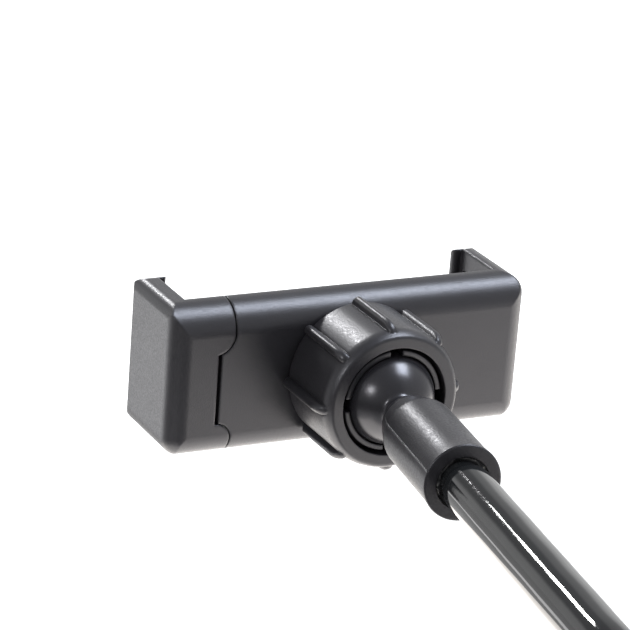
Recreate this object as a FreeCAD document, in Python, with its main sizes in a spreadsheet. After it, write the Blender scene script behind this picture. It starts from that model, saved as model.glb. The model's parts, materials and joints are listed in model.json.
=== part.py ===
import FreeCAD, Part
import math
import os
import re
import Sketcher

# Phone clamp with a ball joint on a gooseneck arm. Millimetres and degrees.
# The foot of the arm is the origin and +Z is up. The clamp is drawn in a frame of its own, whose
# origin is where the lock nut's axis meets the clamp's rear face: X runs to the moving jaw, Y to the
# rear and Z up. The phone lies on the -Y side.
SIZES = {
    # Bar and jaws
    "bar_height": 28.0,
    "bar_depth": 6.4,
    "fixed_end": 35.0,
    "moving_end": 35.3,
    "jaw_depth": 19.7,
    "jaw_wall": 4.5,
    "lip_reach": 1.6,
    "lip_depth": 1.8,
    "corner_round": 3.5,
    "tip_round": 1.5,
    "lip_round": 0.8,
    "edge_round": 0.5,
    "tip_corner": 2.6,
    "crown_round": 2.2,
    "top_round": 5.3,
    "bottom_round": 4.2,
    # Stepped parting between the housing and the moving jaw
    "ear_line": 23.3,
    "step_reach": 2.6,
    "ear_gap": 0.3,
    "step_gap": 0.7,
    "upper_ear_round": 4.0,
    "upper_ear_level": 9.0,
    "lower_ear_round": 3.0,
    "lower_ear_level": 10.6,
    # Walls, cover and sliding tongue
    "rear_wall": 1.5,
    "cover_thickness": 1.4,
    "cover_margin": 1.5,
    "fit_gap": 0.15,
    "slide_gap": 0.2,
    "tongue_height": 17.0,
    "jaw_travel": 25.0,
    "tongue_grip": 24.9,
    # Springs
    "spring_coil": 2.8,
    "spring_wire": 0.45,
    "spring_turns": 10,
    "chords_per_turn": 10,
    "wire_sides": 4,
    "spring_gap": 0.25,
    "seat_gap": 0.05,
    "spring_spread": 9.0,
    "post_inset": 4.5,
    "post_width": 2.0,
    "slot_wall": 2.5,
    # Cover screws
    "screw_spread": 40.0,
    "screw_inset": 3.3,
    "screw_head": 3.0,
    "screw_shank": 1.7,
    "screw_length": 4.2,
    "screw_gap": 0.05,
    # Soft pads
    "pad_thickness": 1.2,
    "pad_recess": 0.6,
    "pad_height": 20.0,
    "pad_margin": 1.2,
    "pad_round": 1.5,
    "front_pad_thickness": 1.0,
    "front_pad_margin": 1.4,
    # Split collet
    "collet_thread": 21.5,
    "collet_height": 15.5,
    "cone_start": 10.8,
    "finger_tip": 18.5,
    "mouth_diameter": 16.8,
    "collet_slot": 2.4,
    "slot_floor": 5.0,
    "socket_bore": 13.0,
    "socket_floor": 2.4,
    "socket_gap": 0.06,
    "thread_gap": 0.1,
    # Lock nut
    "nut_back": 0.5,
    "nut_front": 16.2,
    "nut_opening": 19.9,
    "nut_ring": 24.1,
    "nut_body": 25.9,
    "nut_shoulder": 3.0,
    "rib_count": 8,
    "rib_width": 1.95,
    "rib_height": 1.4,
    "rib_front": 15.2,
    "rib_nose": 3.2,
    "rib_step": 0.45,
    "rib_angle": 3.3,
    # Ball stem
    "ball_diameter": 17.0,
    "ball_depth": 12.9,
    "ball_flat": 11.6,
    "neck_diameter": 7.8,
    "stem_length": 40.6,
    "sleeve_start": 12.6,
    "sleeve_shoulder": 0.7,
    "sleeve_taper": 6.1,
    "sleeve_rim": 9.8,
    "sleeve_diameter": 13.1,
    "sleeve_mouth": 13.5,
    "flare_length": 3.0,
    "stem_bore": 9.2,
    "bore_depth": 20.0,
    "mouth_round": 0.4,
    "stem_swing": 9.25,
    "stem_lift": 1.4,
    # Gooseneck arm
    "arm_diameter": 8.6,
    "core_diameter": 7.0,
    "core_gap": 0.1,
    "arm_run": 62.0,
    "arm_bend": 32.0,
    "arm_drop": 84.0,
    "core_stub": 14.0,
    "stub_diameter": 6.0,
    "glue_depth": 5.0,
    "glue_recess": 1.5,
    "glue_gap": 0.02,
}

# Lengths that follow from the sizes, written as formulas of them
HALF_HEIGHT = "bar_height / 2"
FIXED_FACE = "-(fixed_end - jaw_wall)"
MOVING_FACE = "(moving_end - jaw_wall)"
STEP_LINE = "(ear_line + step_reach)"
COVER_FACE = "(bar_depth - cover_thickness)"
TONGUE_THICKNESS = "bar_depth - rear_wall - cover_thickness - 2 * slide_gap"
TONGUE_END = "(ear_line + step_reach - jaw_travel - tongue_grip)"
POST_FACE = "(ear_line - post_inset - post_width / 2)"
SLOT_WIDTH = "(spring_coil + 2 * spring_gap)"
SLOT_END = "(" + TONGUE_END + " + slot_wall)"
RIB_CREST = "(nut_body / 2 + rib_height)"
ARM_REACH = "(stem_length + arm_run) * cos(stem_lift) + arm_bend * (1 + sin(stem_lift))"
BALL_HEIGHT = (
    "core_stub + arm_drop + arm_bend * cos(stem_lift) - (stem_length + arm_run) * sin(stem_lift)"
)
BALL_AT = (
    "-(" + ARM_REACH + ") * sin(stem_swing)",
    "-(" + ARM_REACH + ") * cos(stem_swing)",
    BALL_HEIGHT,
)
CLAMP_AT = (BALL_AT[0], BALL_AT[1] + " - ball_depth", BALL_AT[2])

doc = FreeCAD.newDocument("PhoneClamp")
sheet = doc.addObject("Spreadsheet::Sheet", "Sizes")
for row, (alias, value) in enumerate(SIZES.items(), start=1):
    sheet.set(f"A{row}", alias)
    sheet.set(f"B{row}", str(value))
    sheet.setAlias(f"B{row}", alias)
doc.recompute()


def linked(formula):
    """The formula with each size's name pointing at its cell of the sheet."""
    return re.sub(r"[a-z_]+", lambda m: "Sizes." + m[0] if m[0] in SIZES else m[0], formula)


def value_of(formula):
    """The number that a formula of the sizes comes to."""
    return float(sheet.evalExpression(formula))


def bind(item, **formulas):
    """Bind properties of an object to formulas of the sizes."""
    for name, formula in formulas.items():
        item.setExpression(name, linked(formula))


def place(item, at, turn=None):
    """Bind an object's place to three formulas; turn is an axis and a formula of its angle."""
    if turn:
        axis, angle = turn
        item.Placement = FreeCAD.Placement(FreeCAD.Vector(), FreeCAD.Rotation(axis, value_of(angle)))
        item.setExpression("Placement.Rotation.Angle", linked(angle))
    for letter, formula in zip("xyz", at):
        item.setExpression("Placement.Base." + letter, linked(formula))


def new_body(label):
    body = doc.addObject("PartDesign::Body", label)
    body.Label = label
    return body


def origin_feature(body, role):
    return next(f for f in body.Origin.OriginFeatures if f.Role == role)


def outline(body, name, plane, runs, offset="0"):
    """A sketch of closed runs on an origin plane, moved along the plane's normal by offset.

    A run is a list of corners (x, y), each joined to the next by a line, or (x, y, centre x,
    centre y, radius, turn), joined to the next by an arc whose turn is +1 anticlockwise or -1.
    A run of one entry (x, y, radius) is a circle. All of them are formulas of the sizes.
    """
    sketch = body.newObject("Sketcher::SketchObject", name)
    sketch.AttachmentSupport = [(origin_feature(body, plane), "")]
    sketch.MapMode = "FlatFace"
    sketch.setExpression("AttachmentOffset.Base.z", linked(offset))

    def tie(kind, parts, formula):
        index = sketch.addConstraint(Sketcher.Constraint(kind, *parts, value_of(formula)))
        sketch.setExpression(f"Constraints[{index}]", linked(formula))

    def tie_point(geometry, end, x, y):
        tie("DistanceX", (-1, 1, geometry, end), x)
        tie("DistanceY", (-1, 1, geometry, end), y)

    for run in runs:
        if len(run) == 1:
            x, y, radius = run[0]
            middle = FreeCAD.Vector(value_of(x), value_of(y))
            circle = sketch.addGeometry(Part.Circle(middle, FreeCAD.Vector(0, 0, 1), value_of(radius)))
            tie_point(circle, 3, x, y)
            tie("Radius", (circle,), radius)
            continue
        spots = [FreeCAD.Vector(value_of(c[0]), value_of(c[1])) for c in run]
        ends = []
        for number, corner in enumerate(run):
            start, stop = spots[number], spots[(number + 1) % len(run)]
            if len(corner) == 2:
                ends.append((sketch.addGeometry(Part.LineSegment(start, stop)), 1, 2))
                continue
            middle = FreeCAD.Vector(value_of(corner[2]), value_of(corner[3]))
            circle = Part.Circle(middle, FreeCAD.Vector(0, 0, 1), value_of(corner[4]))
            angles = [math.atan2(p.y - middle.y, p.x - middle.x) for p in (start, stop)]
            if corner[5] < 0:
                angles.reverse()
            arc = sketch.addGeometry(Part.ArcOfCircle(circle, *angles))
            ends.append((arc, 1, 2) if corner[5] > 0 else (arc, 2, 1))
        for number, corner in enumerate(run):
            item, first, last = ends[number]
            following, its_first, _ = ends[(number + 1) % len(run)]
            sketch.addConstraint(Sketcher.Constraint("Coincident", item, last, following, its_first))
            tie_point(item, first, corner[0], corner[1])
            if len(corner) > 2:
                tie("Radius", (item,), corner[4])
    return sketch


def feature(body, kind, name, sketch, **formulas):
    """A PartDesign feature on a sketch, with its sizes bound to formulas."""
    item = body.newObject("PartDesign::" + kind, name)
    item.Profile = sketch
    bind(item, **formulas)
    return item


def pad(body, name, sketch, length, both_ways=False):
    item = feature(body, "Pad", name, sketch, Length=length)
    item.SideType = "Symmetric" if both_ways else "One side"
    doc.recompute()
    return item


def pocket(body, name, sketch, length, both_ways=False, along_normal=False):
    """Cut away a sketch's outline and make sure that something was cut."""
    before = body.Shape.Volume
    item = feature(body, "Pocket", name, sketch, Length=length)
    item.SideType = "Symmetric" if both_ways else "One side"
    item.Reversed = along_normal
    doc.recompute()
    if body.Shape.Volume >= before - 1e-6:
        raise RuntimeError(name + " cuts nothing")
    return item


def revolve(body, name, sketch, axis, kind="Revolution"):
    """Turn a sketch once round an origin axis: a Revolution adds to the body and a Groove cuts it."""
    item = feature(body, kind, name, sketch)
    item.ReferenceAxis = (origin_feature(body, axis), [""])
    item.Angle = 360
    doc.recompute()
    return item


def rounded(body, name, radius, chosen):
    """Fillet the edges of the body so far for which chosen(edge) is true."""
    base = body.Tip
    names = [f"Edge{n}" for n, edge in enumerate(base.Shape.Edges, start=1) if chosen(edge)]
    item = body.newObject("PartDesign::Fillet", name)
    item.Base = (base, names)
    bind(item, Radius=radius)
    doc.recompute()
    if not item.isValid():
        raise RuntimeError(name + " can't be rounded")
    return item


def rectangle(low_x, low_y, high_x, high_y):
    return [(low_x, low_y), (high_x, low_y), (high_x, high_y), (low_x, high_y)]


def near(a, b):
    return abs(a - b) < 1e-4


def is_upright_at(x, y):
    """A test for the vertical edge that stands at the formulas x and y."""
    spot = (value_of(x), value_of(y))

    def test(edge):
        tops = [v.Point for v in edge.Vertexes]
        return all(near(p.x, spot[0]) and near(p.y, spot[1]) for p in tops)

    return test


def is_between(rear, end, levels):
    """A test for the edges in which two of these faces meet: the rear, an end and the levels."""
    heights = [value_of(level) for level in levels]

    def test(edge):
        spots = [v.Point for v in edge.Vertexes]
        faces = [all(near(p.y, value_of(rear)) for p in spots), all(near(p.x, value_of(end)) for p in spots)]
        faces += [all(near(p.z, height) for p in spots) for height in heights]
        return sum(faces) == 2

    return test


def is_rim(body):
    """A test for the sharp edges of the top and bottom faces of the clamp's plan."""
    half = value_of(HALF_HEIGHT)
    shape = body.Tip.Shape

    def test(edge):
        box = edge.BoundBox
        if not (near(box.ZMin, box.ZMax) and near(abs(box.ZMin), half)):
            return False
        spot = edge.valueAt((edge.FirstParameter + edge.LastParameter) / 2)
        faces = shape.ancestorsOfType(edge, Part.Face)
        upright = [face for face in faces if near(face.normalAt(*face.Surface.parameter(spot)).z, 0)]
        return len(upright) > 0

    return test


def clamp_shell(body, side):
    """One end of the clamp with its jaw: plan outline, jaw roundings and the bar's rear roundings.

    side is -1 at the fixed jaw and +1 at the moving jaw. The inner end is left long, and the
    parting cut trims it.
    """
    end = "-fixed_end" if side < 0 else "moving_end"
    face = FIXED_FACE if side < 0 else MOVING_FACE
    inwards = "+" if side < 0 else "-"
    lip_face = f"{face} {inwards} lip_reach"
    inner_end = f"{STEP_LINE} + top_round" if side < 0 else "ear_line - top_round"
    lip_back = "-(jaw_depth - lip_depth)"
    corners = [
        (inner_end, "0"),
        (end, "0"),
        (end, "-jaw_depth"),
        (lip_face, "-jaw_depth"),
        (lip_face, lip_back),
        (face, lip_back),
        (face, "-bar_depth"),
        (inner_end, "-bar_depth"),
    ]
    plan = outline(body, body.Name + "_plan", "XY_Plane", [corners])
    pad(body, body.Name + "_block", plan, "bar_height", both_ways=True)
    levels = (HALF_HEIGHT, f"-{HALF_HEIGHT}") if side < 0 else (f"-{HALF_HEIGHT}",)
    rounded(body, body.Name + "_corner", "corner_round", is_between("0", end, levels))
    front_lip, back_lip = is_upright_at(lip_face, "-jaw_depth"), is_upright_at(lip_face, lip_back)
    rounded(body, body.Name + "_lip", "lip_round", lambda e: front_lip(e) or back_lip(e))
    rounded(body, body.Name + "_rim", "edge_round", is_rim(body))
    rear_roundings(body)
    tip_rounding(body, end, inwards)
    tip_corners(body)
    if side > 0:
        crown_rounding(body)


def rear_roundings(body):
    """Cut the bar's two long rear edges to quarter rounds, along the whole clamp."""
    top = f"{HALF_HEIGHT} - top_round"
    bottom = f"-{HALF_HEIGHT} + bottom_round"
    over, under = f"{HALF_HEIGHT} + edge_round", f"-{HALF_HEIGHT} - edge_round"
    upper = [
        ("0", top, "-top_round", top, "top_round", 1),
        ("-top_round", HALF_HEIGHT),
        ("-top_round", over),
        ("edge_round", over),
        ("edge_round", top),
    ]
    lower = [
        ("0", bottom, "-bottom_round", bottom, "bottom_round", -1),
        ("-bottom_round", f"-{HALF_HEIGHT}"),
        ("-bottom_round", under),
        ("edge_round", under),
        ("edge_round", bottom),
    ]
    section = outline(body, body.Name + "_section", "YZ_Plane", [upper, lower])
    pocket(body, body.Name + "_rear_rounds", section, "2 * (fixed_end + moving_end)", both_ways=True)


def tip_rounding(body, end, inwards):
    """Cut the upright edge between a jaw's end and its tip to a quarter round."""
    past, within = f"{end} {'-' if inwards == '+' else '+'} edge_round", f"{end} {inwards} tip_round"
    start, beyond = "-jaw_depth + tip_round", "-jaw_depth - edge_round"
    tip = [
        (end, start, within, start, "tip_round", 1 if inwards == "+" else -1),
        (within, "-jaw_depth"),
        (within, beyond),
        (past, beyond),
        (past, start),
    ]
    section = outline(body, body.Name + "_tip_section", "XY_Plane", [tip])
    pocket(body, body.Name + "_tip_round", section, "2 * bar_height", both_ways=True)


def crown_rounding(body):
    """Cut the edge between the moving jaw's end and its top to a quarter round."""
    start, within = f"{HALF_HEIGHT} - crown_round", "moving_end - crown_round"
    over, past = f"{HALF_HEIGHT} + edge_round", "moving_end + edge_round"
    crown = [
        ("moving_end", start, within, start, "crown_round", 1),
        (within, HALF_HEIGHT),
        (within, over),
        (past, over),
        (past, start),
    ]
    section = outline(body, body.Name + "_crown_section", "XZ_Plane", [crown])
    pocket(body, body.Name + "_crown_round", section, "4 * jaw_depth", both_ways=True)


def tip_corners(body):
    """Cut the upper and lower corners of a jaw's tip to quarter rounds, through the jaw and its lip."""
    within, past = "-jaw_depth + tip_corner", "-jaw_depth - edge_round"
    runs = []
    for level, into, out, turn in ((HALF_HEIGHT, "-", "+", -1), (f"-{HALF_HEIGHT}", "+", "-", 1)):
        start, beyond = f"{level} {into} tip_corner", f"{level} {out} edge_round"
        runs.append([
            ("-jaw_depth", start, within, start, "tip_corner", turn),
            (within, level),
            (within, beyond),
            (past, beyond),
            (past, start),
        ])
    section = outline(body, body.Name + "_tip_corner_section", "YZ_Plane", runs)
    pocket(body, body.Name + "_tip_corners", section, "2 * (fixed_end + moving_end)", both_ways=True)


def parting_cut(body, side):
    """Trim a piece to its side of the stepped parting line.

    Seen from the rear, the jaw's ears reach past the middle step above and below it. Each ear ends
    in an arc about a centre on the ear line's inner side. side -1 keeps the housing, +1 the jaw,
    which stands back by the gaps.
    """
    gap, step = ("0", "0") if side < 0 else ("ear_gap", "step_gap")
    ear = f"(ear_line + {gap})"
    middle = f"({STEP_LINE} + {step})"
    away = f"{STEP_LINE} + corner_round + top_round" if side < 0 else "-(fixed_end + corner_round)"
    over, under = f"{HALF_HEIGHT} + edge_round", f"-{HALF_HEIGHT} - edge_round"

    def ear_arc(radius, level, sign):
        centre = f"(ear_line + {radius})"
        size = f"({radius} - {gap})"
        drop = f"sqrt({size} * {size} - ({centre} - {middle}) * ({centre} - {middle}))"
        return centre, size, f"{level} {sign} {drop}"

    top_centre, top_size, top_end = ear_arc("upper_ear_round", "upper_ear_level", "-")
    low_centre, low_size, low_end = ear_arc("lower_ear_round", "-lower_ear_level", "+")
    line = [
        (away, over),
        (ear, over),
        (ear, "upper_ear_level", top_centre, "upper_ear_level", top_size, 1),
        (middle, top_end),
        (middle, low_end, low_centre, "-lower_ear_level", low_size, 1),
        (ear, "-lower_ear_level"),
        (ear, under),
        (away, under),
    ]
    sketch = outline(body, body.Name + "_parting", "XZ_Plane", [line])
    pocket(body, body.Name + "_parting_cut", sketch, "3 * jaw_depth", both_ways=True)


def pad_seat(body, face, side):
    """The shallow recess for a rubber pad in a jaw's inner face."""
    seat = outline(body, body.Name + "_pad_seat", "YZ_Plane", [pad_outline("0")], offset=face)
    pocket(body, body.Name + "_pad_recess", seat, "pad_recess", along_normal=side > 0)


def pad_outline(gap):
    """A jaw pad's outline between the bar and the lip, less a gap on every side."""
    return rectangle(
        f"-(jaw_depth - lip_depth - pad_margin - {gap})",
        f"-(pad_height / 2 - {gap})",
        f"-(bar_depth + front_pad_thickness + pad_margin + {gap})",
        f"pad_height / 2 - {gap}",
    )


def make_rear_housing():
    """Back shell with the fixed jaw, spring posts, screw holes and the split collet."""
    body = new_body("rear_housing")
    clamp_shell(body, -1)
    parting_cut(body, -1)
    pad_seat(body, FIXED_FACE, -1)
    open_end = f"{STEP_LINE} + top_round"
    rebate = rectangle(
        f"{FIXED_FACE} + cover_margin",
        f"-({HALF_HEIGHT} - cover_margin)",
        open_end,
        f"{HALF_HEIGHT} - cover_margin",
    )
    sketch = outline(body, "cover_rebate", "XZ_Plane", [rebate], offset="bar_depth")
    pocket(body, "cover_rebate_cut", sketch, "cover_thickness")
    channel = rectangle(
        f"{TONGUE_END} - slide_gap",
        "-(tongue_height / 2 + slide_gap)",
        open_end,
        "tongue_height / 2 + slide_gap",
    )
    sketch = outline(body, "tongue_channel", "XZ_Plane", [channel], offset=COVER_FACE)
    pocket(body, "tongue_channel_cut", sketch, f"{COVER_FACE} - rear_wall")
    pilots = [[(x, z, "screw_shank / 2 + screw_gap")] for x, z in screw_spots()]
    sketch = outline(body, "screw_pilots", "XZ_Plane", pilots, offset=COVER_FACE)
    pocket(body, "screw_pilot_holes", sketch, "screw_length - cover_thickness + fit_gap")
    posts = [
        rectangle(
            POST_FACE,
            f"{sign} * spring_spread / 2 - {SLOT_WIDTH} / 2 + slide_gap",
            f"{POST_FACE} + post_width",
            f"{sign} * spring_spread / 2 + {SLOT_WIDTH} / 2 - slide_gap",
        )
        for sign in ("1", "-1")
    ]
    sketch = outline(body, "spring_posts", "XZ_Plane", posts, offset="rear_wall")
    pad(body, "spring_post_pads", sketch, f"{COVER_FACE} - rear_wall - fit_gap")
    make_collet(body)
    return body


def make_collet(body):
    """The split socket: a threaded ring with a ball seat, tapered at its four fingers."""
    seat = "(ball_diameter / 2 + socket_gap)"
    low = f"ball_depth - sqrt({seat} * {seat} - socket_bore * socket_bore / 4)"
    high = f"ball_depth + sqrt({seat} * {seat} - mouth_diameter * mouth_diameter / 4)"
    wall = [
        ("0", "-rear_wall / 2"),
        ("collet_thread / 2", "-rear_wall / 2"),
        ("collet_thread / 2", "cone_start"),
        ("finger_tip / 2", "collet_height"),
        ("mouth_diameter / 2", "collet_height"),
        ("mouth_diameter / 2", high, "0", "ball_depth", seat, -1),
        ("socket_bore / 2", low),
        ("socket_bore / 2", "socket_floor"),
        ("0", "socket_floor"),
    ]
    sketch = outline(body, "collet_wall", "XY_Plane", [wall])
    revolve(body, "collet", sketch, "Y_Axis")
    reach, half = "collet_thread", "collet_slot / 2"
    across = rectangle(f"-{reach}", f"-{half}", reach, half)
    upright = rectangle(f"-{half}", f"-{reach}", half, reach)
    for name, slot in (("slot_across", across), ("slot_upright", upright)):
        sketch = outline(body, name, "XZ_Plane", [slot], offset="-(collet_height + edge_round)")
        pocket(body, name + "_cut", sketch, "collet_height + edge_round - slot_floor", along_normal=True)


def screw_spots():
    """The four screws' places, as formulas of X and Z in the clamp's frame."""
    return [
        (f"{x} * screw_spread / 2", f"{z} * ({HALF_HEIGHT} - screw_inset)")
        for x in ("-1", "1")
        for z in ("-1", "1")
    ]


def make_moving_jaw():
    """Sliding jaw whose flat tongue carries the two spring slots."""
    body = new_body("moving_jaw")
    clamp_shell(body, 1)
    parting_cut(body, 1)
    pad_seat(body, MOVING_FACE, 1)
    tongue = rectangle(TONGUE_END, "-tongue_height / 2", f"{STEP_LINE} + corner_round", "tongue_height / 2")
    sketch = outline(body, "tongue", "XZ_Plane", [tongue], offset="rear_wall + slide_gap")
    pad(body, "tongue_plate", sketch, TONGUE_THICKNESS)
    slots = [
        rectangle(
            SLOT_END,
            f"{sign} * spring_spread / 2 - {SLOT_WIDTH} / 2",
            f"{POST_FACE} + post_width + slide_gap",
            f"{sign} * spring_spread / 2 + {SLOT_WIDTH} / 2",
        )
        for sign in ("1", "-1")
    ]
    sketch = outline(body, "spring_slots", "XZ_Plane", slots, offset="bar_depth")
    pocket(body, "spring_slot_cuts", sketch, "bar_depth")
    return body


def make_front_cover():
    """Plate that closes the housing towards the phone, with countersunk screw holes."""
    body = new_body("front_cover")
    plate = rectangle(
        f"{FIXED_FACE} + cover_margin + fit_gap",
        f"-({HALF_HEIGHT} - cover_margin - fit_gap)",
        f"{STEP_LINE} + top_round",
        f"{HALF_HEIGHT} - cover_margin - fit_gap",
    )
    sketch = outline(body, "cover_plate", "XZ_Plane", [plate], offset=COVER_FACE)
    pad(body, "cover_sheet", sketch, "cover_thickness")
    parting_cut(body, -1)
    spots = outline(
        body,
        "cover_holes",
        "XZ_Plane",
        [[(x, z, "screw_shank / 2 + screw_gap")] for x, z in screw_spots()],
        offset="bar_depth",
    )
    pocket(body, "cover_screw_holes", spots, "cover_thickness")
    mouths = outline(
        body,
        "cover_sinks",
        "XZ_Plane",
        [[(x, z, "screw_head / 2 + screw_gap")] for x, z in screw_spots()],
        offset="bar_depth",
    )
    pocket(body, "cover_counterbores", mouths, "cover_thickness / 2 + screw_gap")
    return body


def make_cover_screws():
    """Four flat-headed screws as one group."""
    screws = []
    for number, (x, z) in enumerate(screw_spots(), start=1):
        head = doc.addObject("Part::Cylinder", f"screw_head_{number}")
        bind(head, Radius="screw_head / 2", Height="cover_thickness / 2")
        shank = doc.addObject("Part::Cylinder", f"screw_shank_{number}")
        bind(shank, Radius="screw_shank / 2", Height="screw_length")
        screw = doc.addObject("Part::Fuse", f"screw_{number}")
        screw.Base, screw.Tool = head, shank
        turn = FreeCAD.Rotation(FreeCAD.Vector(1, 0, 0), -90)
        screw.Placement = FreeCAD.Placement(FreeCAD.Vector(), turn)
        place(screw, (x, "-bar_depth", z))
        screws.append(screw)
    group = doc.addObject("Part::Compound", "cover_screws")
    group.Label = "cover_screws"
    group.Links = screws
    return group


def make_front_pad():
    """Soft sheet on the cover, over the screws."""
    body = new_body("front_pad")
    sheet_outline = rectangle(
        f"{FIXED_FACE} + cover_margin + front_pad_margin",
        f"-({HALF_HEIGHT} - cover_margin - front_pad_margin)",
        "ear_line - front_pad_margin",
        f"{HALF_HEIGHT} - cover_margin - front_pad_margin",
    )
    sketch = outline(body, "front_pad_sheet", "XZ_Plane", [sheet_outline], offset="bar_depth")
    pad(body, "front_pad_plate", sketch, "front_pad_thickness")
    thickness = value_of("front_pad_thickness")
    rounded(body, "front_pad_corners", "pad_round", lambda e: near(e.BoundBox.YLength, thickness))
    return body


def make_jaw_pad(label, face, side):
    """Rubber pad seated in a jaw's recess and standing proud of the jaw's face."""
    body = new_body(label)
    floor = f"{face} + {side} * pad_recess"
    sketch = outline(body, label + "_sheet", "YZ_Plane", [pad_outline("fit_gap")], offset=floor)
    item = pad(body, label + "_plate", sketch, "pad_thickness")
    item.Reversed = side > 0
    doc.recompute()
    thickness = value_of("pad_thickness")
    rounded(body, label + "_corners", "pad_round", lambda e: near(e.BoundBox.XLength, thickness))
    return body


def make_spring(label):
    """Compression spring along X: a many-sided wire carried round a coil of straight chords."""
    wire = value_of("spring_wire / 2")
    radius = value_of("spring_coil / 2") - wire
    length = value_of(f"{POST_FACE} - {SLOT_END} - 2 * seat_gap") - 2 * wire
    chords = round(value_of("chords_per_turn * spring_turns"))
    turn = 2 * math.pi / value_of("chords_per_turn")
    coil = []
    for step in range(chords + 1):
        across, up = radius * math.cos(step * turn), radius * math.sin(step * turn)
        coil.append(FreeCAD.Vector(wire + length * step / chords, across, up))
    sides = round(value_of("wire_sides"))
    corners = []
    for side in range(sides + 1):
        angle = 2 * math.pi * side / sides
        corners.append(coil[0] + FreeCAD.Vector(wire * math.sin(angle), wire * math.cos(angle), 0))
    spring = doc.addObject("Part::Feature", label)
    spring.Label = label
    section = Part.makePolygon(corners)
    make_solid, keep_upright, sharp_corners = True, True, 1
    spring.Shape = Part.makePolygon(coil).makePipeShell([section], make_solid, keep_upright, sharp_corners)
    return spring


def make_lock_nut():
    """Ribbed nut, threaded over the collet and tapered inside towards its round opening."""
    body = new_body("lock_nut")
    bore = "(collet_thread / 2 + thread_gap)"
    taper = "(collet_height - cone_start) / (collet_thread / 2 - finger_tip / 2)"
    cone_end = f"cone_start + ({bore} - nut_opening / 2) * {taper}"
    fall = "((nut_body - nut_ring) / 2)"
    dome = f"((nut_shoulder * nut_shoulder + {fall} * {fall}) / (2 * {fall}))"
    shoulder = "(nut_front - nut_shoulder)"
    section = [
        (bore, "nut_back"),
        ("nut_body / 2", "nut_back"),
        ("nut_body / 2", shoulder, f"nut_body / 2 - {dome}", shoulder, dome, 1),
        ("nut_ring / 2", "nut_front"),
        ("nut_opening / 2", "nut_front"),
        ("nut_opening / 2", cone_end),
        (bore, "cone_start"),
    ]
    sketch = outline(body, "nut_section", "XY_Plane", [section])
    revolve(body, "nut_shell", sketch, "Y_Axis")
    make_ribs(body, bore)
    dome_front = f"(nut_body / 2 - {dome} + sqrt({dome} * {dome} - (rib_front - {shoulder})^2))"
    trim_rib_noses(body, dome_front)
    return body


def make_ribs(body, bore):
    """Half-round ribs along the nut, rooted between its bore and its outside."""
    root = f"({bore} + nut_body / 2) / 2"
    half = "rib_width / 2"
    crown = f"({RIB_CREST} - {half})"
    section = [
        (root, f"-{half}"),
        (crown, f"-{half}", crown, "0", half, 1),
        (RIB_CREST, "0", crown, "0", half, 1),
        (crown, half),
        (root, half),
    ]
    sketch = outline(body, "rib_section", "XZ_Plane", [section], offset="-nut_back")
    rib = pad(body, "rib", sketch, "rib_front - nut_back")
    rib.Reversed = True
    ribs = body.newObject("PartDesign::PolarPattern", "ribs")
    ribs.Originals = [rib]
    ribs.Axis = (origin_feature(body, "Y_Axis"), [""])
    ribs.Angle = 360
    bind(ribs, Occurrences="rib_count")
    body.Tip = ribs
    doc.recompute()


def trim_rib_noses(body, dome_front):
    """Turn the ribs' front ends down in an arc that lands a small step above the dome."""
    landing = f"({dome_front} + rib_step)"
    level = "(rib_front - rib_nose)"
    fall = f"({RIB_CREST} - {landing})"
    radius = f"((rib_nose * rib_nose + {fall} * {fall}) / (2 * {fall}))"
    beyond = "nut_body"
    nose = [
        (RIB_CREST, level, f"{RIB_CREST} - {radius}", level, radius, 1),
        (landing, "rib_front"),
        (landing, "nut_front"),
        (beyond, "nut_front"),
        (beyond, level),
    ]
    sketch = outline(body, "rib_nose_section", "XY_Plane", [nose])
    revolve(body, "rib_nose_cut", sketch, "Y_Axis", kind="Groove")


def make_ball_stem():
    """Flat-backed ball, neck and arm sleeve in one moulding, along Y from the ball's centre."""
    body = new_body("ball_stem")
    ball = "ball_diameter / 2"
    neck = "neck_diameter / 2"
    foot = f"sqrt({ball} * {ball} - {neck} * {neck})"
    flat = f"-sqrt({ball} * {ball} - ball_flat * ball_flat / 4)"
    section = [
        ("0", flat),
        ("ball_flat / 2", flat, "0", "0", ball, 1),
        (neck, foot),
        (neck, "sleeve_start - sleeve_shoulder"),
        ("sleeve_rim / 2", "sleeve_start"),
        ("sleeve_diameter / 2", "sleeve_start + sleeve_taper"),
        ("sleeve_diameter / 2", "stem_length - flare_length"),
        ("sleeve_mouth / 2", "stem_length - mouth_round"),
        ("sleeve_mouth / 2 - mouth_round", "stem_length"),
        ("stem_bore / 2", "stem_length"),
        ("stem_bore / 2", "stem_length - bore_depth"),
        ("0", "stem_length - bore_depth"),
    ]
    sketch = outline(body, "stem_section", "XY_Plane", [section])
    revolve(body, "stem", sketch, "Y_Axis")
    return body


def make_stem_adhesive():
    """Glue that fills the mouth of the stem round the arm."""
    body = new_body("stem_adhesive")
    ring = rectangle(
        "arm_diameter / 2 + glue_gap",
        "stem_length - glue_recess - glue_depth",
        "stem_bore / 2 - glue_gap",
        "stem_length - glue_recess",
    )
    sketch = outline(body, "glue_section", "XY_Plane", [ring])
    revolve(body, "glue", sketch, "Y_Axis")
    return body


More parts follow.
